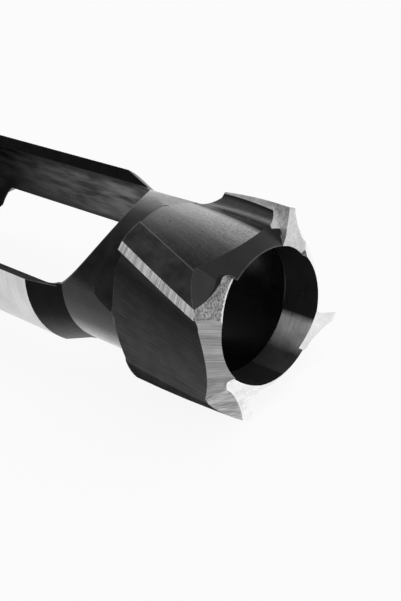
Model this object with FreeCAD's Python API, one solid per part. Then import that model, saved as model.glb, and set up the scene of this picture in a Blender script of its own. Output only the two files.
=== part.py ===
import FreeCAD, Part
import math
import os

# Tenon cutter: one piece of tool steel, turned, milled and ground.
# It is modelled on its own axis, mouth up, with z = 0 at the rim of the mouth,
# and is laid on its side at the end. Angles are clock angles: seen from the mouth,
# clockwise from +Y. A tooth cuts anticlockwise, so what trails it has the larger angle.

# Turned body, mm
tenon_diameter = 20.0
cutting_diameter = 30.5
neck_diameter = 24.5
tube_diameter = 28.8
shank_diameter = 13.0
head_length = 17.4
head_back_angle = 45.0
head_back_flat = 1.05
head_back_fillet = 0.8
shoulder_foot = 30.9
shoulder_top = 37.2
tube_end = 100.0
tube_back_chamfer = 1.0
shank_length = 40.0
shank_root_fillet = 1.5
shank_chamfer = 1.0

# Bore for the tenon, mm: a guide band at the mouth, then a wider relief
guide_length = 6.15
bore_relief = 0.4
bore_step_length = 0.6
bore_depth = 80.0

# Window milled right through the tube and into the neck, its long edges bevelled
window_width = 22.0
window_front = 23.5
window_length = 64.9
window_angle = 300.7
bevel_start = 6.0
bar_bevel_angle = 36.0
bevel_inner = (9.5, 7.75)
bevel_runout_length = 6.0
bevel_runout_rise = 3.5

# Section of the toothed head, angles in degrees behind a tooth's leading edge
tooth_count = 4
helix_angle = 18.0
edge_angle = -14.8
land_width = 4.9
clearance_middle = 12.0
clearance_middle_drop = 0.29
clearance_end = 19.5
clearance_end_drop = 0.75
flute_middle = (12.2, 45.0)
flute_foot = (12.25, 77.5)
rake_hollow = (13.4, 87.7)
runout_floor = 11.8
runout_lead = 29.0
runout_angle = 6.0

# Ground front of each tooth, clock angles measured in the tooth's own frame
bevel_angle = 43.0
rake_inner_angle = -14.2
rake_run = 4.0
relief_inner_angle = -16.9
relief_tip_drop = 0.37
relief_heel_angle = 15.9
relief_heel_drop = 0.75
relief_heel_radius = 9.5
relief_back_angle = -9.1
relief_waist_radius = 12.7
relief_shoulder = (11.8, 9.0)
relief_band_end = (11.8, 13.5)
relief_round = (11.0, 17.5)
facet_tip_drop = 0.75
facet_corner = (14.7, 8.0, -3.6)
facet_foot_angle = 10.0
facet_end_angle = 11.5
spur_reach = 1.3

# The clock angle that ends up on top when the cutter lies on a bench
top_angle = 316.0

bore_radius = tenon_diameter / 2
cutting_radius = cutting_diameter / 2
neck_radius = neck_diameter / 2
tube_radius = tube_diameter / 2
shank_radius = shank_diameter / 2
overall_length = tube_end + shank_length
tooth_pitch = 360.0 / tooth_count
twist_rate = math.degrees(math.tan(math.radians(helix_angle)) / cutting_radius)
bevel_slope = math.tan(math.radians(bevel_angle))
ring_inner = 0.9 * bore_radius
ring_outer = 1.3 * cutting_radius
overlap_angle = 3.0
margin = 5.0
section_spacing = 2.5

Z_AXIS = FreeCAD.Vector(0, 0, 1)
ORIGIN = FreeCAD.Vector(0, 0, 0)


def clock(radius, angle, z=0.0):
    """Point at a clock angle about the tool's axis."""
    a = math.radians(angle)
    return FreeCAD.Vector(radius * math.sin(a), radius * math.cos(a), z)


def line(a, b):
    return Part.LineSegment(a, b).toShape()


def arc(a, middle, b):
    return Part.Arc(a, middle, b).toShape()


def at(radius, z):
    """Point of a turning profile."""
    return FreeCAD.Vector(radius, 0, z)


def turned(edges):
    """Solid turned from a closed profile beside the axis."""
    face = Part.Face(Part.Wire(edges))
    return face.revolve(ORIGIN, Z_AXIS, 360)


def polygon_edges(points):
    return [line(a, b) for a, b in zip(points, points[1:] + points[:1])]


def prism(edges, bottom, top):
    """Upright solid on a closed outline drawn at z = 0."""
    face = Part.Face(Part.Wire(edges))
    face.translate(FreeCAD.Vector(0, 0, bottom))
    return face.extrude(FreeCAD.Vector(0, 0, top - bottom))


def half_space(points, towards):
    """Block on one side of a plane through three points, the side that holds a given point."""
    a, b, c = points
    normal = (b - a).cross(c - a)
    normal.normalize()
    if normal.dot(towards - a) < 0:
        normal = normal * -1.0
    size = 4 * cutting_diameter
    block = Part.makeBox(size, size, size, FreeCAD.Vector(-size / 2, -size / 2, 0))
    block.Placement = FreeCAD.Placement(a, FreeCAD.Rotation(Z_AXIS, normal))
    return block


def twisted(edges, low, high):
    """Extrude an outline drawn at z = 0 along the teeth's helix."""
    steps = max(3, math.ceil((high - low) / section_spacing) + 1)
    sections = []
    for i in range(steps):
        z = low + (high - low) * i / (steps - 1)
        section = Part.Wire(edges)
        section.translate(FreeCAD.Vector(0, 0, z))
        section.rotate(ORIGIN, Z_AXIS, twist_rate * z)
        sections.append(section)
    return Part.makeLoft(sections, True, False)


def on_teeth(shape):
    """One copy of a shape for each tooth."""
    copies = []
    for i in range(tooth_count):
        copy = shape.copy()
        copy.rotate(ORIGIN, Z_AXIS, -tooth_pitch * i)
        copies.append(copy)
    return copies


# Turned body behind the head

back_slope = math.tan(math.radians(head_back_angle))
flat_radius = cutting_radius - head_back_flat
back_corner = -head_length - (flat_radius - neck_radius) * back_slope
fillet_reach = head_back_fillet / math.tan(math.radians(45 + head_back_angle / 2))
fillet_gap = head_back_fillet * (1 / math.sin(math.radians(45 + head_back_angle / 2)) - 1)
neck_start = back_corner - fillet_reach
lean = math.radians(head_back_angle)
half_lean = math.radians(45 - head_back_angle / 2)


def body_profile():
    """Neck, coned shoulder, tube and shank."""
    round_middle = shank_root_fillet * (1 - math.sqrt(0.5))
    return [
        line(at(0, neck_start), at(neck_radius, neck_start)),
        line(at(neck_radius, neck_start), at(neck_radius, -shoulder_foot)),
        line(at(neck_radius, -shoulder_foot), at(tube_radius, -shoulder_top)),
        line(at(tube_radius, -shoulder_top), at(tube_radius, -tube_end + tube_back_chamfer)),
        line(
            at(tube_radius, -tube_end + tube_back_chamfer),
            at(tube_radius - tube_back_chamfer, -tube_end),
        ),
        line(
            at(tube_radius - tube_back_chamfer, -tube_end),
            at(shank_radius + shank_root_fillet, -tube_end),
        ),
        arc(
            at(shank_radius + shank_root_fillet, -tube_end),
            at(shank_radius + round_middle, -tube_end - round_middle),
            at(shank_radius, -tube_end - shank_root_fillet),
        ),
        line(
            at(shank_radius, -tube_end - shank_root_fillet),
            at(shank_radius, -overall_length + shank_chamfer),
        ),
        line(
            at(shank_radius, -overall_length + shank_chamfer),
            at(shank_radius - shank_chamfer, -overall_length),
        ),
        line(at(shank_radius - shank_chamfer, -overall_length), at(0, -overall_length)),
        line(at(0, -overall_length), at(0, neck_start)),
    ]


# Toothed head

def head_section():
    """Land, backed-off clearance, crowned flute and hollow rake face, once for each tooth."""
    edges = []
    for i in range(tooth_count):
        turn = FreeCAD.Rotation(Z_AXIS, -tooth_pitch * i)
        next_turn = FreeCAD.Rotation(Z_AXIS, -tooth_pitch * (i + 1))
        leading = turn.multVec(clock(cutting_radius, edge_angle))
        land_middle = turn.multVec(clock(cutting_radius, edge_angle + land_width / 2))
        land_back = turn.multVec(clock(cutting_radius, edge_angle + land_width))
        clearance_radius = cutting_radius - clearance_middle_drop
        clearance = turn.multVec(clock(clearance_radius, edge_angle + clearance_middle))
        corner_radius = cutting_radius - clearance_end_drop
        corner = turn.multVec(clock(corner_radius, edge_angle + clearance_end))
        floor = turn.multVec(clock(flute_middle[0], edge_angle + flute_middle[1]))
        foot = turn.multVec(clock(flute_foot[0], edge_angle + flute_foot[1]))
        hollow = turn.multVec(clock(rake_hollow[0], edge_angle + rake_hollow[1]))
        next_leading = next_turn.multVec(clock(cutting_radius, edge_angle))
        edges.append(arc(leading, land_middle, land_back))
        edges.append(arc(land_back, clearance, corner))
        edges.append(arc(corner, floor, foot))
        edges.append(arc(foot, hollow, next_leading))
    return edges


def head_envelope():
    """What the head was turned to before fluting: a drum, flat behind and coned to the neck."""
    cone_end = at(
        neck_radius + fillet_reach * math.cos(lean),
        back_corner + fillet_reach * math.sin(lean),
    )
    fillet_middle = at(
        neck_radius + fillet_gap * math.cos(half_lean),
        back_corner - fillet_gap * math.sin(half_lean),
    )
    return turned([
        line(at(0, neck_start), at(neck_radius, neck_start)),
        arc(at(neck_radius, neck_start), fillet_middle, cone_end),
        line(cone_end, at(flat_radius, -head_length)),
        line(at(flat_radius, -head_length), at(cutting_radius, -head_length)),
        line(at(cutting_radius, -head_length), at(cutting_radius, margin)),
        line(at(cutting_radius, margin), at(0, margin)),
        line(at(0, margin), at(0, neck_start)),
    ])


def flute_runout():
    """Slanting flat that carries a flute out over the neck."""
    normal_angle = edge_angle + tooth_pitch - runout_lead - twist_rate * neck_start
    slope = math.tan(math.radians(runout_angle))
    near = clock(runout_floor, normal_angle, neck_start)
    far = clock(runout_floor + margin * slope, normal_angle, neck_start - margin)
    side = near + clock(1.0, normal_angle + 90)
    outside = clock(2 * cutting_radius, normal_angle, neck_start)
    block = half_space([near, far, side], outside)
    reach = turned(polygon_edges([
        at(0, neck_start),
        at(2 * cutting_radius, neck_start),
        at(2 * cutting_radius, -shoulder_foot),
        at(0, -shoulder_foot),
    ]))
    return block.common(reach)


# Ground front

def rake_plane():
    """Flat rake face at the front of a tooth, following the helix."""
    return [
        clock(cutting_radius, edge_angle),
        clock(cutting_radius, edge_angle + rake_run * twist_rate, -rake_run),
        clock(bore_radius, rake_inner_angle),
    ]


def relief_outline():
    """Ground relief seen from the front: narrow at the tip and broad along the bore."""
    ahead = relief_inner_angle - overlap_angle
    tip = clock(cutting_radius, relief_back_angle)
    waist = clock(relief_waist_radius, 0.0)
    shoulder = clock(*relief_shoulder)
    band_end = clock(*relief_band_end)
    heel = clock(relief_heel_radius, relief_heel_angle)
    return [
        line(clock(ring_inner, ahead), clock(ring_outer, ahead)),
        line(clock(ring_outer, ahead), clock(ring_outer, relief_back_angle)),
        line(clock(ring_outer, relief_back_angle), tip),
        arc(tip, waist, shoulder),
        line(shoulder, band_end),
        arc(band_end, clock(*relief_round), heel),
        line(heel, clock(ring_inner, relief_heel_angle)),
        line(clock(ring_inner, relief_heel_angle), clock(ring_inner, ahead)),
    ]


def front_gullets():
    """Bevelled gullets between the teeth, with the tooth's own front left standing."""
    ring = turned(polygon_edges([
        at(ring_inner, (bore_radius - ring_inner) * bevel_slope),
        at(ring_outer, (bore_radius - ring_outer) * bevel_slope),
        at(ring_outer, margin),
        at(ring_inner, margin),
    ]))
    behind_rake = half_space(rake_plane(), clock(cutting_radius, 0.0))
    depth = -2 * margin
    tooth_front = prism(relief_outline(), depth, 2 * margin)
    shoulder_radius = relief_shoulder[0]
    bevel_depth = (bore_radius - shoulder_radius) * bevel_slope
    facet_plane = [
        clock(cutting_radius, relief_back_angle, -facet_tip_drop),
        clock(*facet_corner),
        clock(shoulder_radius, facet_foot_angle, bevel_depth),
    ]
    facet_start_angle = relief_back_angle - overlap_angle
    facet_outline = polygon_edges([
        clock(ring_inner, facet_start_angle),
        clock(ring_outer, facet_start_angle),
        clock(ring_outer, facet_end_angle),
        clock(ring_inner, facet_end_angle),
    ])
    facet = prism(facet_outline, depth, 2 * margin)
    facet = facet.common(half_space(facet_plane, ORIGIN - Z_AXIS * 3 * margin))
    spur = prism(polygon_edges([
        clock(ring_inner, relief_inner_angle),
        clock(bore_radius, relief_inner_angle),
        clock(bore_radius + spur_reach, rake_inner_angle),
        clock(bore_radius + spur_reach, 0.0),
        clock(ring_inner, 0.0),
    ]), depth, 2 * margin)
    standing = tooth_front.common(behind_rake).fuse(facet.common(behind_rake)).fuse(spur)
    return ring.cut(on_teeth(standing))


def relief_cut():
    """What the relief grind takes off the front of a tooth."""
    plane = [
        clock(bore_radius, relief_inner_angle),
        clock(cutting_radius, edge_angle, -relief_tip_drop),
        clock(bore_radius, relief_heel_angle, -relief_heel_drop),
    ]
    above = half_space(plane, Z_AXIS * margin)
    return prism(relief_outline(), -2 * margin, 2 * margin).common(above)


# Bore and window

def bore():
    relief_radius = bore_radius + bore_relief
    return turned(polygon_edges([
        at(0, margin),
        at(bore_radius, margin),
        at(bore_radius, -guide_length),
        at(relief_radius, -guide_length - bore_step_length),
        at(relief_radius, -bore_depth),
        at(0, -bore_depth),
    ]))


def window():
    """Round-ended slot right through the tube, with bevels along its straight edges."""
    half_width = window_width / 2
    half_run = window_length / 2 - half_width
    half_depth = tube_diameter
    middle = -window_front - window_length / 2
    bevel_out = margin * math.sin(math.radians(bar_bevel_angle))
    bevel_up = margin * math.cos(math.radians(bar_bevel_angle))
    outline = polygon_edges([
        FreeCAD.Vector(half_width, bevel_start, 0),
        FreeCAD.Vector(half_width + bevel_up, bevel_start + bevel_out, 0),
        FreeCAD.Vector(half_width + bevel_up, half_depth, 0),
        FreeCAD.Vector(bevel_inner[0], half_depth, 0),
        FreeCAD.Vector(*bevel_inner, 0),
    ])
    bevel = prism(outline, middle - half_run, middle + half_run + half_width)
    rear = Part.Wire(outline)
    rear.translate(FreeCAD.Vector(0, 0, middle - half_run))
    runout = rear.copy()
    runout.translate(FreeCAD.Vector(0, bevel_runout_rise, -bevel_runout_length))
    bevel = bevel.fuse(Part.makeLoft([rear, runout], True, True))
    slot = Part.makeBox(
        window_width, 2 * half_depth, 2 * half_run,
        FreeCAD.Vector(-half_width, -half_depth, middle - half_run),
    )
    for end in (middle - half_run, middle + half_run):
        start = FreeCAD.Vector(0, -half_depth, end)
        slot = slot.fuse(Part.makeCylinder(half_width, 2 * half_depth, start, FreeCAD.Vector(0, 1, 0)))
    across = bevel.mirror(ORIGIN, FreeCAD.Vector(1, 0, 0))
    behind = [bevel.mirror(ORIGIN, FreeCAD.Vector(0, 1, 0)), across.mirror(ORIGIN, FreeCAD.Vector(0, 1, 0))]
    cutters = [slot, bevel, across] + behind
    for cutter in cutters:
        cutter.rotate(ORIGIN, Z_AXIS, -window_angle)
    return cutters


def toothed_head():
    head = twisted(head_section(), neck_start, margin / 2).common(head_envelope())
    head = head.cut(front_gullets())
    return head.cut(on_teeth(relief_cut()))


def cutter_body():
    solid = toothed_head().fuse(turned(body_profile()))
    solid = solid.cut(on_teeth(flute_runout()))
    solid = solid.cut([bore()] + window())
    return solid.removeSplitter()


def laid_down(shape):
    """Lay the cutter on its side, mouth towards +X, resting on z = 0."""
    shape.rotate(ORIGIN, Z_AXIS, top_angle)
    shape.rotate(ORIGIN, FreeCAD.Vector(1, 1, 1), 120)
    box = shape.optimalBoundingBox()
    shape.translate(FreeCAD.Vector(-box.Center.x, -box.Center.y, -box.ZMin))
    return shape


os.makedirs("parts", exist_ok=True)
cutter = laid_down(cutter_body())
cutter.exportStep("parts/cutter_body.step")
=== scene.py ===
import math
import bpy
import bmesh
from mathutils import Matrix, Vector


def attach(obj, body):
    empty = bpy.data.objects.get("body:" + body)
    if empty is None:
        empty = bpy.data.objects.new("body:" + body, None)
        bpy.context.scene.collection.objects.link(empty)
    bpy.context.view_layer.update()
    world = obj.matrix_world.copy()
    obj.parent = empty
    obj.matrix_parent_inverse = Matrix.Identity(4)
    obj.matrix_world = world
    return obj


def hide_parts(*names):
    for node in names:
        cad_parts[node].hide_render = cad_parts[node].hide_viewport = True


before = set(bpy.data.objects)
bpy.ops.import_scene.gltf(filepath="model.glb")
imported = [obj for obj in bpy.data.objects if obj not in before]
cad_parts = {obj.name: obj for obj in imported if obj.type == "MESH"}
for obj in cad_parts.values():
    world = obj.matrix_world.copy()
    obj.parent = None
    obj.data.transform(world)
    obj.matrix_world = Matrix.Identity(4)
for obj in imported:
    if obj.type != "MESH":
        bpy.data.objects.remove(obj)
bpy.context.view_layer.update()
bpy.ops.object.select_all(action="DESELECT")

# Camera, where the photographer stood: in front of the mouth, to its right and above it.
view = bpy.data.cameras.new("camera")
view.lens = 66.1724853515625
view.sensor_width = 36.0
view.sensor_fit = "AUTO"
camera = bpy.data.objects.new("camera", view)
camera.location = (0.16276271, -0.08632292, 0.09915084)
camera.rotation_euler = (0.9969550967, 0.1968473196, 0.7669764757)
bpy.context.scene.collection.objects.link(camera)
bpy.context.scene.camera = camera


# Cutter body. One bar of tool steel, turned, milled and blackened, then ground bright on the
# tube, the shank, the lands and the front of the teeth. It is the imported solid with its
# vertices merged, so that each ground or blackened face can carry its own finish.

# Height of the axis over the bench and place of the mouth along it, in metres, and the clock
# angle that is uppermost as the tool lies.
AXIS_HEIGHT = 0.0144
MOUTH = 0.070
TOP_ANGLE = 316.0

# Vertices this close are one, and faces that meet more gently than this are one surface.
MERGE_DISTANCE = 1e-6
PATCH_ANGLE = math.radians(8.0)

# Radii in millimetres, the room that a vertex has round each, and how far off the neck a face
# reaches that belongs to a chip groove.
SHANK_RADIUS = 6.5
BORE_RADIUS = 10.0
RELIEVED_RADIUS = 10.4
NECK_RADIUS = 12.25
INNER_BEVEL_RADIUS = 12.4
OUTER_CLEARANCE_RADIUS = 14.0
TUBE_RADIUS = 14.4
CUTTING_RADIUS = 15.25
SLACK = 0.02
OFF_NECK = 0.1

# Places ahead of the mouth in millimetres, so negative on the tool.
NEAR_FRONT = -1.0
FACET_DEPTH = -4.0
BEVEL_DEPTH = -4.5
RAKE_DEPTH = -6.0
HEAD_BACK = -17.0
FLUTE_END = -19.5
FLUTE_END_SPAN = 0.5
SHOULDER_FOOT = -30.9
SHOULDER_TOP = -37.2
WINDOW_REACH = -60.0
TUBE_END = -100.0

# How far a face looks out of the mouth: 1 is straight ahead, and -1 is straight back.
SQUARE_AHEAD = 0.95
SLANTING_AHEAD = 0.65
UNDERCUT = -0.28
SQUARE_BACK = -0.9
SIDEWAYS = 0.1

# Teeth: their helix, the clock angle of a leading edge at the mouth, how far behind it the chip
# groove of the next tooth starts, their spacing, and their letters by clock angle.
HELIX = math.radians(18.0)
EDGE_ANGLE = -14.8
GROOVE_FOOT = 77.5
TOOTH_PITCH = 90
FIRST_TOOTH_ANGLE = 20
TEETH_BY_CLOCK = "CDAB"

# Directions of the tool marks, on the unrolled tool and in space.
ALONG_AXIS = Vector((1.0, 0.0, 0.0))
ROUND_AXIS = Vector((0.0, 1.0, 0.0))
ALONG_TEETH = Vector((math.cos(HELIX), -math.sin(HELIX), 0.0))
OUT_FROM_BORE = Vector((-0.665, -0.711, 0.228))
ACROSS_FACET = Vector((-0.62, -0.77, 0.10))

# Tone of the bare steel where the black oxide has worn off.
BARE_STEEL = 0.6

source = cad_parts["cutter_body"]
body = bpy.data.objects.new("cutter_body_finished", source.data.copy())
bpy.context.scene.collection.objects.link(body)


def on_tool(point):
    """Radius and clock angle about the tool's axis, and distance ahead of the mouth, in mm."""
    side = point.y * 1000
    height = (point.z - AXIS_HEIGHT) * 1000
    angle = (math.degrees(math.atan2(side, height)) + TOP_ANGLE) % 360
    return math.hypot(side, height), angle, (point.x - MOUTH) * 1000


def smooth_patches(mesh):
    """Groups of faces that meet without a sharp edge."""
    seen = set()
    patches = []
    for first in mesh.faces:
        if first in seen:
            continue
        seen.add(first)
        patch = [first]
        for face in patch:
            for edge in face.edges:
                if len(edge.link_faces) != 2 or edge.calc_face_angle() > PATCH_ANGLE:
                    continue
                for other in edge.link_faces:
                    if other not in seen:
                        seen.add(other)
                        patch.append(other)
        patches.append(patch)
    return patches


def behind_edge(point):
    """Angle in degrees behind the leading edge of the tooth ahead, unwound from its helix."""
    place = on_tool(point)
    twist = math.degrees(math.tan(HELIX) / CUTTING_RADIUS)
    return (place[1] + twist * place[2] - EDGE_ANGLE) % TOOTH_PITCH


def tooth_of(angle):
    """Letter of the tooth at a clock angle, where each tooth has the gap that follows it."""
    return TEETH_BY_CLOCK[int(((angle + FIRST_TOOTH_ANGLE) % 360) // TOOTH_PITCH)]


def finish_of(patch):
    """Name of the finish on one smooth patch, from its place and the way it faces."""
    places = [on_tool(v.co) for face in patch for v in face.verts]
    least = min(p[0] for p in places)
    most = max(p[0] for p in places)
    back = min(p[2] for p in places)
    front = max(p[2] for p in places)
    area = sum(face.calc_area() for face in patch)
    outward = sum(face.normal.x * face.calc_area() for face in patch) / area
    middle = sum((face.calc_center_median() * face.calc_area() for face in patch), Vector()) / area
    tooth = tooth_of(on_tool(middle)[1])
    if most < SHANK_RADIUS + 2 and back < TUBE_END + 1:
        return "ground_round"
    if front < TUBE_END + 2:
        # The rear end of the tube is as black as the bevels of its bars.
        return "bar_bevel"
    if least > NECK_RADIUS - SLACK and front < SHOULDER_FOOT + SLACK and back > SHOULDER_TOP - SLACK:
        return "shoulder"
    if least > TUBE_RADIUS - SLACK and most < TUBE_RADIUS + SLACK:
        return "ground_round"
    if abs(least - BORE_RADIUS) < SLACK and abs(most - BORE_RADIUS) < SLACK:
        return "guide_band"
    if most < RELIEVED_RADIUS + SLACK:
        return "bore"
    if back < WINDOW_REACH and outward > SQUARE_BACK:
        return "bar_bevel" if least > INNER_BEVEL_RADIUS else "wall"
    if outward > SQUARE_AHEAD:
        return "relief_" + tooth
    if front > NEAR_FRONT and outward > SLANTING_AHEAD and back < BEVEL_DEPTH:
        return "bevel_" + tooth
    if back > FACET_DEPTH and outward > SLANTING_AHEAD and most > CUTTING_RADIUS - SLACK:
        return "facet_" + tooth
    if outward < UNDERCUT and front > NEAR_FRONT and back > RAKE_DEPTH:
        return "rake_C" if tooth == "C" else "rake"
    if front > NEAR_FRONT and least > OUTER_CLEARANCE_RADIUS and back < HEAD_BACK:
        return "clearance"
    if most > CUTTING_RADIUS - SLACK and abs(back - FLUTE_END) < FLUTE_END_SPAN:
        return "flute_" + tooth
    return "neck"


def node(tree, kind, inputs, **settings):
    """Add a shader node whose inputs are values or the outputs of other nodes."""
    made = tree.nodes.new("ShaderNode" + kind)
    for name, value in settings.items():
        setattr(made, name, value)
    for name, value in inputs.items():
        if isinstance(value, bpy.types.NodeSocket):
            tree.links.new(value, made.inputs[name])
        else:
            made.inputs[name].default_value = value
    return made


def times(tree, first, second):
    """Product of two tones."""
    return node(tree, "Math", {0: first, 1: second}, operation="MULTIPLY").outputs[0]


def larger(tree, first, second):
    """The larger of two tones."""
    return node(tree, "Math", {0: first, 1: second}, operation="MAXIMUM").outputs[0]


def times_plus(tree, first, second, added):
    """Product of two values, and a third value added to it."""
    return node(tree, "Math", {0: first, 1: second, 2: added}, operation="MULTIPLY_ADD").outputs[0]


def less(tree, first, second):
    """First value less the second."""
    return node(tree, "Math", {0: first, 1: second}, operation="SUBTRACT").outputs[0]


def spread(tree, value, low, high, at_low, at_high):
    """A value between two limits, spread between two others."""
    return node(tree, "MapRange", {
        "Value": value, "From Min": low, "From Max": high, "To Min": at_low, "To Max": at_high,
    }).outputs["Result"]


def band(tree, value, start, full, ending, end):
    """1 in a band that comes in between two limits and goes out between two others."""
    return times(tree, spread(tree, value, start, full, 0.0, 1.0),
                 spread(tree, value, ending, end, 1.0, 0.0))


def broadly(tree, noise, at_low, at_high):
    """Noise, most of which lies near a half, spread between two limits."""
    return spread(tree, noise, 0.35, 0.65, at_low, at_high)


def gently(tree, noise, at_low, at_high):
    """The same with less contrast, for the fine lines of a tool."""
    return spread(tree, noise, 0.3, 0.7, at_low, at_high)


def blend(tree, share, first, second):
    """Mix of two tones by a share from 0 to 1."""
    return node(tree, "Mix", {0: share, 2: first, 3: second}).outputs[0]


def object_place(tree):
    """Place on the tool in metres."""
    return node(tree, "TexCoord", {}).outputs["Object"]


def unrolled_place(tree):
    """Place on the tool unrolled flat: along its axis, round its tube, and out from the axis."""
    part = node(tree, "SeparateXYZ", {0: object_place(tree)})
    height = less(tree, part.outputs["Z"], AXIS_HEIGHT)
    angle = node(tree, "Math", {0: part.outputs["Y"], 1: height}, operation="ARCTAN2").outputs[0]
    across = node(tree, "CombineXYZ", {"X": part.outputs["Y"], "Y": height})
    radius = node(tree, "VectorMath", {0: across.outputs[0]}, operation="LENGTH").outputs["Value"]
    arc = times(tree, angle, TUBE_RADIUS / 1000)
    return node(tree, "CombineXYZ", {"X": part.outputs["X"], "Y": arc, "Z": radius}).outputs[0]


def along_axis(tree):
    """Distance ahead of the middle of the tool."""
    return node(tree, "SeparateXYZ", {0: unrolled_place(tree)}).outputs["X"]


def round_tube(tree):
    """Distance round the tube from its top."""
    return node(tree, "SeparateXYZ", {0: unrolled_place(tree)}).outputs["Y"]


def out_from_axis(tree):
    """Distance from the tool's axis."""
    return node(tree, "SeparateXYZ", {0: unrolled_place(tree)}).outputs["Z"]


def ahead_of_mouth(tree):
    """Distance ahead of the mouth, so negative on the tool."""
    return less(tree, along_axis(tree), MOUTH)


def unwound(tree):
    """Distance round the tube with the twist of the teeth taken out of it."""
    twist = math.tan(HELIX) * TUBE_RADIUS / CUTTING_RADIUS
    return times_plus(tree, ahead_of_mouth(tree), twist, round_tube(tree))


def streaks(tree, place, direction, length, width, detail=3.0):
    """Noise drawn out into streaks along a direction, sizes in metres."""
    turn = direction.to_track_quat("X", "Z").to_euler()
    stretched = node(tree, "Mapping", {
        "Vector": place, "Rotation": turn, "Scale": (length, width, width),
    }, vector_type="TEXTURE")
    noise = node(tree, "TexNoise", {"Vector": stretched.outputs[0], "Scale": 1.0, "Detail": detail})
    return noise.outputs["Fac"]


def clouds(tree, place, size, detail=3.0):
    """Even noise with lumps of about the given size in metres."""
    noise = node(tree, "TexNoise", {"Vector": place, "Scale": 1.0 / size, "Detail": detail})
    return noise.outputs["Fac"]


def worn_edges(tree):
    """1 on the outer edges of the steel, falling to 0 a little way in from them."""
    flat_to_edge = (0.9, 0.62)
    inside = node(tree, "AmbientOcclusion", {"Distance": 0.00016}, inside=True, samples=8)
    return spread(tree, inside.outputs["AO"], *flat_to_edge, 0.0, 1.0)


def emboss(tree, shader, height, strength, depth=0.00003):
    """Give the surface fine dents with a given height pattern."""
    bump = node(tree, "Bump", {"Strength": strength, "Distance": depth, "Height": height})
    tree.links.new(bump.outputs[0], shader.inputs["Normal"])


def new_material(name):
    """A material, its node tree and its shader."""
    material = bpy.data.materials.new(name)
    material.use_nodes = True
    return material, material.node_tree, material.node_tree.nodes["Principled BSDF"]


def ground(name, direction, tone, contrast, roughness=0.3, length=0.008, width=0.00015,
           patchy=0.08, turned=False, metallic=1.0):
    """Steel ground bright, with the wheel's long fine lines in its tone, gloss and height."""
    material, tree, shader = new_material(name)
    place = unrolled_place(tree) if turned else object_place(tree)
    fine = streaks(tree, place, direction, length, width)
    broad = streaks(tree, place, direction, 2 * length, 5 * width)
    haze = clouds(tree, object_place(tree), size=0.004)
    shade = times(tree, gently(tree, fine, 1 - contrast, 1 + contrast),
                  broadly(tree, broad, 1 - contrast / 2, 1 + contrast / 2))
    shade = times(tree, shade, broadly(tree, haze, 1 - patchy, 1 + patchy))
    tree.links.new(times(tree, shade, tone), shader.inputs["Base Color"])
    tree.links.new(gently(tree, fine, 0.8 * roughness, 1.2 * roughness), shader.inputs["Roughness"])
    emboss(tree, shader, fine, 0.35)
    shader.inputs["Metallic"].default_value = metallic
    return material


def dark_at_back_and_rim(tree):
    """Shade on the window's wall: deep towards the shank, and under the bevel of the bar."""
    window_front = (0.0, 0.032)
    bevel_foot = (0.0116, 0.0124)
    to_shank = spread(tree, along_axis(tree), *window_front, 0.1, 1.0)
    under_bevel = spread(tree, out_from_axis(tree), *bevel_foot, 1.0, 0.25)
    return times(tree, to_shank, under_bevel)


def dark_by_tooth(tree):
    """Shade in the gap between the two front teeth, deepest along the upper one."""
    lower_to_upper = (-0.0290, -0.0190)
    return spread(tree, unwound(tree), *lower_to_upper, 1.35, 0.45)


def painted_sheen_round(tree, grain, underside, topside):
    """Painted sheen, a lighter tone standing in for reflected light, along the underside and the top
    of the tool, all but in its pits.
    """
    side_to_bottom = (-0.0250, -0.0318)
    side_to_top = (-0.002, 0.006)
    below = spread(tree, round_tube(tree), *side_to_bottom, 0.0, underside)
    above = spread(tree, round_tube(tree), *side_to_top, 0.0, topside)
    pits = spread(tree, grain, 0.60, 0.70, 1.0, 0.3)
    return times(tree, larger(tree, below, above), pits)


def lighter_corner(tree, share):
    """A lighter tone in the corner of a bevel, behind the foot of the next tooth."""
    tooth_foot = (0.0053, 0.0056)
    outer_half = (0.01198, 0.01208)
    behind = spread(tree, unwound(tree), *tooth_foot, 0.0, share)
    return times(tree, behind, spread(tree, out_from_axis(tree), *outer_half, 0.0, 1.0))


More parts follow.
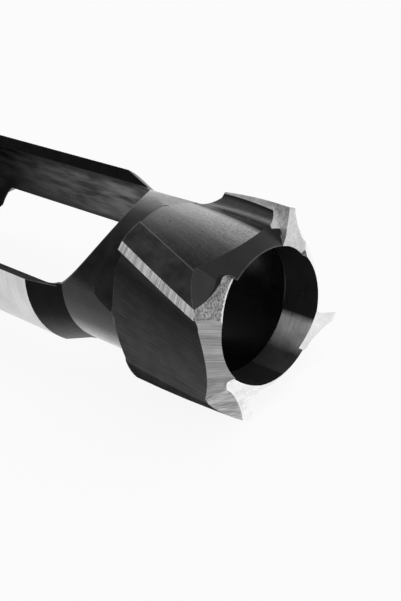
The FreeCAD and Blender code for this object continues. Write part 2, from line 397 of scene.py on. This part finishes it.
def blackened(name, direction, tone, roughness=0.32, mottle=0.3, mottle_size=0.0025,
              mottle_length=0.0, specular=0.5, lines=0.12, turned=True, wear=0.3, pits=0.0,
              dimples=0.25, shade=None, underside=0.0, topside=0.0, corner=0.0, painted_tooth_light=False):
    """Steel with a black oxide skin: faint tool marks, mottling, and bare metal on its edges, with
    painted shade and painted light where these are asked for.
    """
    material, tree, shader = new_material(name)
    place = unrolled_place(tree) if turned else object_place(tree)
    fine = streaks(tree, place, direction, length=0.006, width=0.00018)
    grain = clouds(tree, object_place(tree), size=0.0004, detail=2.0)
    if mottle_length:
        haze = streaks(tree, object_place(tree), direction, mottle_length, mottle_size, detail=5.0)
    else:
        haze = clouds(tree, object_place(tree), mottle_size, detail=5.0)
    skin = times(tree, broadly(tree, haze, 1 - mottle, 1 + mottle),
                 gently(tree, fine, 1 - lines, 1 + lines))
    if shade:
        skin = times(tree, skin, shade(tree))
    skin = times(tree, skin, tone)
    # Painted sheen along the underside and the top, where asked for.
    if underside or topside:
        lighter = painted_sheen_round(tree, grain, underside, topside)
        skin = larger(tree, skin, times(tree, lighter, broadly(tree, haze, 0.8, 1.2)))
    if corner:
        lighter = lighter_corner(tree, corner)
        skin = larger(tree, skin, times(tree, lighter, broadly(tree, haze, 0.8, 1.2)))
    bare = times(tree, worn_edges(tree), spread(tree, haze, 0.35, 0.6, 0.3, 1.0))
    bare = times(tree, bare, wear)
    tree.links.new(blend(tree, bare, skin, BARE_STEEL), shader.inputs["Base Color"])
    tree.links.new(bare, shader.inputs["Metallic"])
    gloss = broadly(tree, haze, 0.85 * roughness, 1.15 * roughness)
    pitted = spread(tree, grain, 0.66, 0.72, 0.0, pits)
    tree.links.new(larger(tree, gloss, pitted), shader.inputs["Roughness"])
    emboss(tree, shader, blend(tree, 0.5, fine, grain), dimples)
    shader.inputs["Specular IOR Level"].default_value = specular
    # Painted light and painted shadow beside the next tooth, where asked for.
    if painted_tooth_light:
        painted_light_by_tooth(tree, shader, skin, grain, fine)
    return material


def painted_light_by_tooth(tree, shader, skin, grain, fine):
    """Painted light along the foot of the next tooth, and painted shadow, dark and without gloss,
    just below the edge of its groove.
    """
    lip_shadow_band = (0.0022, 0.0031, 0.0052, 0.0056)
    tooth_foot = (-0.0045, 0.0018, 0.0018, 0.0028)
    far_edge = (-0.01035, -0.0102)
    whole_gap = (-0.0095, -0.003)
    across = unwound(tree)
    # Painted shadow, darker and without gloss, just below the groove's edge.
    lip_shadow = band(tree, across, *lip_shadow_band)
    flecks = times(tree, spread(tree, grain, 0.4, 0.6, 0.75, 1.2), broadly(tree, fine, 0.75, 1.25))
    # Painted light along the foot of the next tooth.
    lighter = times(tree, band(tree, across, *tooth_foot), 0.26)
    tone = larger(tree, times(tree, lighter, flecks), skin)
    tone = larger(tree, tone, spread(tree, across, *far_edge, 0.12, 0.0))
    specks = spread(tree, grain, 0.68, 0.73, 1.0, 0.3)
    tone = times(tree, times(tree, tone, specks), spread(tree, lip_shadow, 0.0, 1.0, 1.0, 0.1))
    tree.links.new(tone, shader.inputs["Base Color"])
    gleam = times(tree, spread(tree, across, *whole_gap, 0.2, 0.58),
                  spread(tree, lip_shadow, 0.0, 1.0, 1.0, 0.02))
    gleam = times(tree, gleam, spread(tree, flecks, 0.5, 1.5, 0.6, 1.4))
    tree.links.new(times(tree, gleam, specks), shader.inputs["Specular IOR Level"])


def band_with_painted_reflection(name, tone, reflection_tone):
    """Dark guide band of the bore, with a painted reflection that makes one stretch of it bright."""
    material, tree, shader = new_material(name)
    reflection_start = (0.0312, 0.0327)
    reflection_end = (0.0345, 0.0400)
    fine = streaks(tree, unrolled_place(tree), ROUND_AXIS, length=0.006, width=0.0002)
    haze = clouds(tree, object_place(tree), size=0.003)
    # Painted reflection: the bright stretch of the band.
    patch = times(tree, spread(tree, round_tube(tree), *reflection_start, 0.0, 1.0),
                  spread(tree, round_tube(tree), *reflection_end, 1.0, 0.05))
    patch = times(tree, patch, broadly(tree, haze, 0.75, 1.1))
    shade = times(tree, blend(tree, patch, tone, reflection_tone), gently(tree, fine, 0.8, 1.2))
    tree.links.new(shade, shader.inputs["Base Color"])
    tree.links.new(broadly(tree, haze, 0.25, 0.4), shader.inputs["Roughness"])
    emboss(tree, shader, fine, 0.3)
    shader.inputs["Metallic"].default_value = 0.4
    return material


def speckled(name, tone, rim_tone):
    """Steel left rough from the wheel, grainy, with a bright rim where it meets the bore."""
    material, tree, shader = new_material(name)
    raggedness = 0.0008
    rim_end = BORE_RADIUS / 1000 - 0.00005
    rim_start = rim_end - 0.0002
    grain = clouds(tree, object_place(tree), size=0.0003, detail=4.0)
    haze = clouds(tree, object_place(tree), size=0.0015)
    shade = times(tree, spread(tree, grain, 0.38, 0.62, 0.5, 1.6), broadly(tree, haze, 0.8, 1.2))
    ragged = times_plus(tree, grain, -raggedness, out_from_axis(tree))
    rim = spread(tree, ragged, rim_end, rim_start, 0.0, 1.0)
    tree.links.new(blend(tree, rim, times(tree, shade, tone), rim_tone), shader.inputs["Base Color"])
    tree.links.new(broadly(tree, grain, 0.35, 0.6), shader.inputs["Roughness"])
    emboss(tree, shader, grain, 0.6, depth=0.00005)
    shader.inputs["Metallic"].default_value = 1.0
    return material


def grooved(name, tone):
    """Front of a tooth: a bright ground margin, and the dark chip groove behind it, with painted
    light low in the groove and painted shade up under the margin.
    """
    material, tree, shader = new_material(name)
    margin_lean = 0.06
    front_slope = 0.83
    upper_margin = (0.01391, 0.01398)
    front_margin = (0.00802, 0.00814)
    above_neck = (0.01236, 0.01244)
    groove_floor = (0.01235, 0.01265)
    groove_wall = (0.01265, 0.0131)
    groove_roof = (0.0132, 0.01385)
    radius = out_from_axis(tree)
    length = ahead_of_mouth(tree)
    lean = times_plus(tree, length, margin_lean, radius)
    ahead = times_plus(tree, radius, front_slope, length)
    margin = larger(tree, spread(tree, lean, *upper_margin, 0.0, 1.0),
                    spread(tree, ahead, *front_margin, 0.0, 1.0))
    margin = times(tree, margin, spread(tree, radius, *above_neck, 0.0, 1.0))
    fine = streaks(tree, unrolled_place(tree), ALONG_TEETH, length=0.006, width=0.0002)
    haze = clouds(tree, object_place(tree), size=0.0015, detail=5.0)
    steel = times(tree, broadly(tree, haze, 0.8 * tone, 1.1 * tone), gently(tree, fine, 0.9, 1.1))
    # Painted light, a lighter band low in the groove, and painted shade towards the margin.
    painted_streak = times(tree, spread(tree, radius, *groove_floor, 0.02, 1.0),
                   spread(tree, radius, *groove_wall, 1.0, 0.25))
    groove_tone_and_painted_light = times(tree, painted_streak, spread(tree, lean, *groove_roof, 1.0, 0.1))
    groove_tone_and_painted_light = times(tree, groove_tone_and_painted_light, broadly(tree, haze, 0.18, 0.26))
    tree.links.new(blend(tree, margin, groove_tone_and_painted_light, steel), shader.inputs["Base Color"])
    tree.links.new(times(tree, margin, 0.5), shader.inputs["Metallic"])
    tree.links.new(broadly(tree, haze, 0.3, 0.45), shader.inputs["Roughness"])
    emboss(tree, shader, fine, 0.3)
    shader.inputs["Specular IOR Level"].default_value = 0.04
    return material


# A relief, bevel, facet or rake that is ground is ground the same on each tooth, yet its tone
# differs from tooth to tooth, and flute_A has a lighter skin with almost no gloss: these differences
# are painted light and shade, set to the light each face catches.
finishes = {
    "neck": blackened("black_oxide", ALONG_TEETH, 0.016, roughness=0.16, specular=0.2, pits=0.6,
                      underside=0.66, topside=0.20, dimples=0.15),
    "flute_A": blackened("black_flute_a", ALONG_TEETH, 0.056, mottle=0.12, specular=0.02,
                         pits=0.3, lines=0.25, shade=dark_by_tooth),
    "flute_B": blackened("black_flute_b", ALONG_TEETH, 0.005, roughness=0.2, mottle=0.5, pits=0.8,
                         dimples=0.4, painted_tooth_light=True),
    "flute_C": blackened("black_flute_c", ALONG_TEETH, 0.005, roughness=0.26, pits=0.6),
    "flute_D": blackened("black_flute_d", ALONG_TEETH, 0.005, roughness=0.26, pits=0.6),
    "clearance": blackened("black_clearance", ALONG_TEETH, 0.042, roughness=0.3, specular=0.0,
                           pits=0.4),
    "shoulder": blackened("black_shoulder", ROUND_AXIS, 0.005, roughness=0.25, specular=0.05,
                          underside=0.09),
    "rake_groove": grooved("rake_groove", 0.78),
    "wall": blackened("window_wall", ALONG_AXIS, 0.25, roughness=0.5, mottle=0.75,
                      mottle_size=0.0015, mottle_length=0.006, specular=0.03,
                      shade=dark_at_back_and_rim),
    "bar_bevel": blackened("black_bar_bevel", ALONG_AXIS, 0.006, specular=0.15, wear=0.1),
    "ground_round": ground("ground_round", ROUND_AXIS, 0.62, 0.10, turned=True),
    "land": ground("ground_land", ROUND_AXIS, 1.0, 0.5, roughness=0.45, length=0.003,
                   width=0.0001, turned=True, metallic=0.65),
    "guide_band": band_with_painted_reflection("guide_band", 0.03, 0.9),
    "bore": blackened("bore_black", ROUND_AXIS, 0.005, roughness=0.25, specular=0.2, wear=0.0),
    "rake": ground("ground_rake", ACROSS_FACET, 0.95, 0.2, roughness=0.4, metallic=0.5),
    "rake_C": ground("ground_rake_c", ACROSS_FACET, 0.68, 0.4, roughness=0.4, patchy=0.12,
                     metallic=0.5),
    "relief_A": ground("ground_relief_a", ACROSS_FACET, 0.92, 0.10, patchy=0.16),
    "relief_B": speckled("rough_relief_b", 0.24, 0.8),
    "relief_C": ground("ground_relief_c", ACROSS_FACET, 0.61, 0.2),
    "relief_D": ground("ground_relief_d", ACROSS_FACET, 0.82, 0.10),
    "bevel_A": ground("ground_bevel_a", OUT_FROM_BORE, 0.30, 0.30),
    "bevel_B": blackened("black_bevel_b", ALONG_TEETH, 0.004, specular=0.35, turned=False,
                         wear=0.1, corner=0.6),
    "bevel_C": ground("ground_bevel_c", OUT_FROM_BORE, 0.95, 0.10),
    "bevel_D": ground("ground_bevel_d", OUT_FROM_BORE, 0.95, 0.10),
    "facet_A": ground("ground_facet_a", ACROSS_FACET, 0.42, 0.40),
    "facet_B": blackened("black_facet_b", ALONG_TEETH, 0.008, specular=0.4, turned=False),
    "facet_C": ground("ground_facet_c", ACROSS_FACET, 0.50, 0.30),
    "facet_D": blackened("black_facet_d", ALONG_TEETH, 0.008, specular=0.4, turned=False),
}
finish_names = list(finishes)

body.data.materials.clear()
for finish in finishes.values():
    body.data.materials.append(finish)


def face_finish(face, finish):
    """Finish of one face: its patch's, unless it is a land or lies in a tooth's chip groove."""
    radii = [on_tool(v.co)[0] for v in face.verts]
    if min(radii) > CUTTING_RADIUS - SLACK and abs(face.normal.x) < SIDEWAYS:
        return "land"
    beside_tooth = finish in ("flute_B", "flute_C", "flute_D", "neck")
    off_neck = min(radii) > NECK_RADIUS - SLACK and max(radii) > NECK_RADIUS + OFF_NECK
    if beside_tooth and off_neck and behind_edge(face.calc_center_median()) > GROOVE_FOOT:
        return "rake_groove"
    return finish


mesh = bmesh.new()
mesh.from_mesh(body.data)
bmesh.ops.remove_doubles(mesh, verts=mesh.verts, dist=MERGE_DISTANCE)
mesh.normal_update()
for patch in smooth_patches(mesh):
    patch_finish = finish_of(patch)
    for face in patch:
        face.material_index = finish_names.index(face_finish(face, patch_finish))
mesh.to_mesh(body.data)
mesh.free()

body.select_set(True)
bpy.context.view_layer.objects.active = body
bpy.ops.mesh.customdata_custom_splitnormals_clear()
bpy.ops.object.shade_smooth_by_angle(angle=PATCH_ANGLE)
bpy.ops.object.select_all(action="DESELECT")

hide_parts("cutter_body")
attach(body, "root")


# Floor and light. A plain white table under soft light, in a room that is darker on the
# photographer's side.

# The room's two changes run with the cosine of the angle to its dark side, and with height.
FLOOR_SIZE = 6.0
PAPER_GLOW = 0.9
PAPER_COLOUR = (0.9, 0.9, 0.9, 1.0)
WHITE = (1.0, 1.0, 1.0, 1.0)
DARK_SIDE = (-0.72, -0.67, 0.18)
TURN_TO_DARK_SIDE = (0.1, 0.93)
WALL_TO_CEILING = (0.3, 0.7)
SOFTBOX_AIM = Vector((0.03, 0.0, 0.0))

bpy.ops.mesh.primitive_plane_add(size=FLOOR_SIZE, location=(0, 0, 0))
floor = bpy.context.active_object
floor.name = "floor"
paper, tree, sheet = new_material("white_paper")
sheet.inputs["Base Color"].default_value = PAPER_COLOUR
sheet.inputs["Roughness"].default_value = 0.9
sheet.inputs["Specular IOR Level"].default_value = 0.0
glow = node(tree, "Emission", {"Color": WHITE})
rays = node(tree, "LightPath", {})
looks = larger(tree, rays.outputs["Is Camera Ray"], rays.outputs["Is Glossy Ray"])
looks = larger(tree, looks, rays.outputs["Is Transmission Ray"])
share = times(tree, looks, PAPER_GLOW)
both = node(tree, "MixShader", {0: share, 1: sheet.outputs[0], 2: glow.outputs[0]})
tree.links.new(both.outputs[0], tree.nodes["Material Output"].inputs["Surface"])
floor.data.materials.append(paper)

world = bpy.data.worlds.new("studio")
bpy.context.scene.world = world
world.use_nodes = True
tree = world.node_tree
room = tree.nodes["Background"]
room.inputs["Color"].default_value = WHITE
towards = node(tree, "TexCoord", {}).outputs["Generated"]
facing = node(tree, "VectorMath", {0: towards, 1: DARK_SIDE}, operation="DOT_PRODUCT")
height = node(tree, "SeparateXYZ", {0: towards}).outputs["Z"]
shade = times(tree, spread(tree, facing.outputs["Value"], *TURN_TO_DARK_SIDE, 1.0, 0.12),
              spread(tree, height, *WALL_TO_CEILING, 1.25, 0.7))
tree.links.new(shade, room.inputs["Strength"])

lamp = bpy.data.lights.new("softbox", "AREA")
lamp.size = 0.3
lamp.energy = 0.5
softbox = bpy.data.objects.new("softbox", lamp)
softbox.location = (0.25, 0.15, 0.6)
softbox.rotation_euler = (softbox.location - SOFTBOX_AIM).to_track_quat("Z", "Y").to_euler()
bpy.context.scene.collection.objects.link(softbox)

bpy.context.scene.view_settings.view_transform = "Standard"
